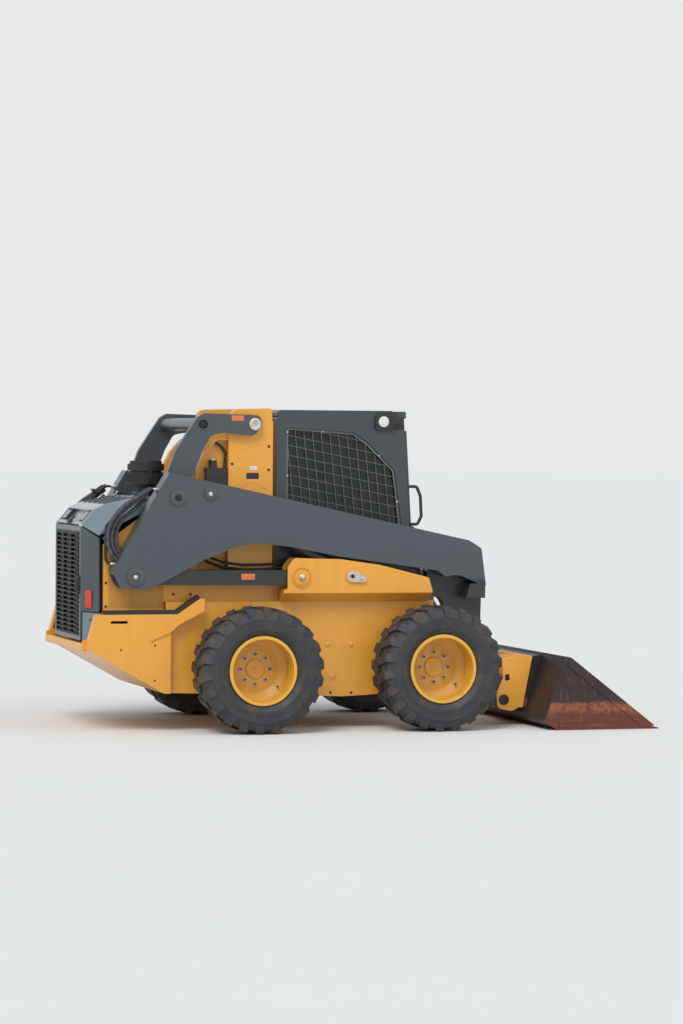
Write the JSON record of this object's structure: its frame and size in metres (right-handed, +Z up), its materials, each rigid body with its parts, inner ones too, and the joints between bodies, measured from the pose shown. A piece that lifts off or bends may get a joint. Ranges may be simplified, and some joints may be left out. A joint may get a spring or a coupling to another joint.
{
  "type": "skid steer loader",
  "caption": "Compact skid steer loader with a closed cab, vertical-lift arms, hydraulic cylinders, a wide bucket and lugged tyres.",
  "frame": {"origin": "on the ground, under the middle of the whole machine with its bucket down", "axes": "+X forward towards the bucket, +Y to the operator's left, +Z up"},
  "size_m": [3.997, 2.09, 2.2014],
  "materials": {
    "yellow_paint": "gloss",
    "dark_paint": "satin",
    "slate_paint": "satin",
    "black_plastic": "matte",
    "black_steel": "satin",
    "tinted_glass": "polished",
    "seat_vinyl": "satin",
    "cast_steel": "rough",
    "chrome": "polished",
    "worn_steel": "rough",
    "tyre": "rough",
    "wheel_paint": "satin",
    "red_lens": "gloss",
    "hose_rubber": "matte"
  },
  "bodies": {
    "frame": {"air_precleaner": "black_plastic", "axle_housings": "cast_steel", "cab_floor": "slate_paint", "cab_frame": "slate_paint", "cab_glass": "tinted_glass", "cab_lamps": "black_plastic", "cab_roof": "black_plastic", "control_consoles": "black_plastic", "engine_block": "black_steel", "engine_cowl": "dark_paint", "engine_side_panels": "yellow_paint", "frame_hoses": "hose_rubber", "grab_handles": "black_steel", "main_frame": "yellow_paint", "operator_seat": "seat_vinyl", "pivot_housings": "yellow_paint", "radiator": "black_steel", "rear_bumper": "yellow_paint", "rear_shell": "slate_paint", "rear_skirt": "yellow_paint", "seat_pedestal": "black_plastic", "skirt_seals": "hose_rubber", "tower_left": "yellow_paint", "tower_right": "yellow_paint", "valve_block": "black_steel", "window_guards": "black_steel"},
    "rear_door": {"rear_door_frame": "slate_paint", "rear_grille": "black_plastic"},
    "hood": {"engine_hood": "slate_paint", "tail_lamps": "red_lens"},
    "front_door": {"door_frame": "slate_paint", "door_glass": "tinted_glass"},
    "upper_link": {"upper_link": "slate_paint"},
    "boom": {"boom_arm_left": "slate_paint", "boom_arm_right": "slate_paint", "boom_front_frame": "dark_paint", "boom_hoses": "hose_rubber"},
    "control_links": {"control_links": "slate_paint"},
    "lift_barrels": {"lift_barrels": "black_steel"},
    "lift_rods": {"lift_rods": "chrome"},
    "tilt_barrels": {"tilt_barrels": "black_steel"},
    "tilt_rods": {"tilt_rods": "chrome"},
    "tool": {"coupler": "yellow_paint", "bucket": "worn_steel", "bucket_edge": "worn_steel"},
    "wheel_front_left": {"front_left_tyre": "tyre", "front_left_rim": "wheel_paint"},
    "wheel_front_right": {"front_right_tyre": "tyre", "front_right_rim": "wheel_paint"},
    "wheel_rear_left": {"rear_left_tyre": "tyre", "rear_left_rim": "wheel_paint"},
    "wheel_rear_right": {"rear_right_tyre": "tyre", "rear_right_rim": "wheel_paint"}
  },
  "joints": [
    {"name": "lift", "type": "hinge", "parent": "frame", "child": "upper_link", "pos_m": [-0.79, 0, 2.091], "axis": [0, 1, 0], "range_deg": [0, 72]},
    {"name": "boom_pivot", "type": "hinge", "parent": "upper_link", "child": "boom", "pos_m": [-1.369, 0, 1.588], "axis": [0, -1, 0], "range_deg": [0, 115]},
    {"name": "control_link_pivot", "type": "hinge", "parent": "frame", "child": "control_links", "pos_m": [-0.494, 0, 1.05], "axis": [0, 1, 0], "range_deg": [0, 44]},
    {"name": "lift_cylinder_pivot", "type": "hinge", "parent": "frame", "child": "lift_barrels", "pos_m": [-0.136, 0, 1.055], "axis": [0, 1, 0], "range_deg": [0, 26]},
    {"name": "lift_rod_slide", "type": "slide", "parent": "lift_barrels", "child": "lift_rods", "axis": [-0.8736, 0, 0.4867], "range_m": [0, 0.87]},
    {"name": "tilt", "type": "hinge", "parent": "boom", "child": "tool", "pos_m": [1.02, 0, 0.181], "axis": [0, 1, 0], "range_deg": [-25, 85]},
    {"name": "tilt_cylinder_pivot", "type": "hinge", "parent": "boom", "child": "tilt_barrels", "pos_m": [0.732, 0, 0.9], "axis": [0, 1, 0], "range_deg": [-4.32, 1.62]},
    {"name": "tilt_rod_slide", "type": "slide", "parent": "tilt_barrels", "child": "tilt_rods", "axis": [0.5623, 0, -0.8269], "range_m": [-0.0797, 0.2661]},
    {"name": "rear_door_hinge", "type": "hinge", "parent": "frame", "child": "rear_door", "pos_m": [-1.888, 0.572, 0.83], "axis": [0, 0, -1], "range_deg": [0, 90]},
    {"name": "hood_hinge", "type": "hinge", "parent": "frame", "child": "hood", "pos_m": [-1.555, 0, 1.606], "axis": [0, 1, 0], "range_deg": [0, 55]},
    {"name": "front_door_hinge", "type": "hinge", "parent": "frame", "child": "front_door", "pos_m": [0.45, 0.43, 1.33], "axis": [0, 0, 1], "range_deg": [0, 90]},
    {"name": "front_left_wheel_spin", "type": "hinge", "parent": "frame", "child": "wheel_front_left", "pos_m": [0.437, 0.853, 0.43], "axis": [0, 1, 0], "continuous": true},
    {"name": "front_right_wheel_spin", "type": "hinge", "parent": "frame", "child": "wheel_front_right", "pos_m": [0.437, -0.853, 0.43], "axis": [0, 1, 0], "continuous": true},
    {"name": "rear_left_wheel_spin", "type": "hinge", "parent": "frame", "child": "wheel_rear_left", "pos_m": [-0.838, 0.853, 0.43], "axis": [0, 1, 0], "continuous": true},
    {"name": "rear_right_wheel_spin", "type": "hinge", "parent": "frame", "child": "wheel_rear_right", "pos_m": [-0.838, -0.853, 0.43], "axis": [0, 1, 0], "continuous": true}
  ],
  "couplings": [
    {"joint": "boom_pivot", "follows": "lift", "ratio": 1.5815},
    {"joint": "control_link_pivot", "follows": "lift", "ratio": 0.5839},
    {"joint": "lift_cylinder_pivot", "follows": "lift", "ratio": 0.3558},
    {"joint": "lift_rod_slide", "follows": "lift", "m_per_rad": 0.6711},
    {"joint": "tilt_cylinder_pivot", "follows": "tilt", "ratio": -0.045},
    {"joint": "tilt_rod_slide", "follows": "tilt", "m_per_rad": 0.178}
  ]
}
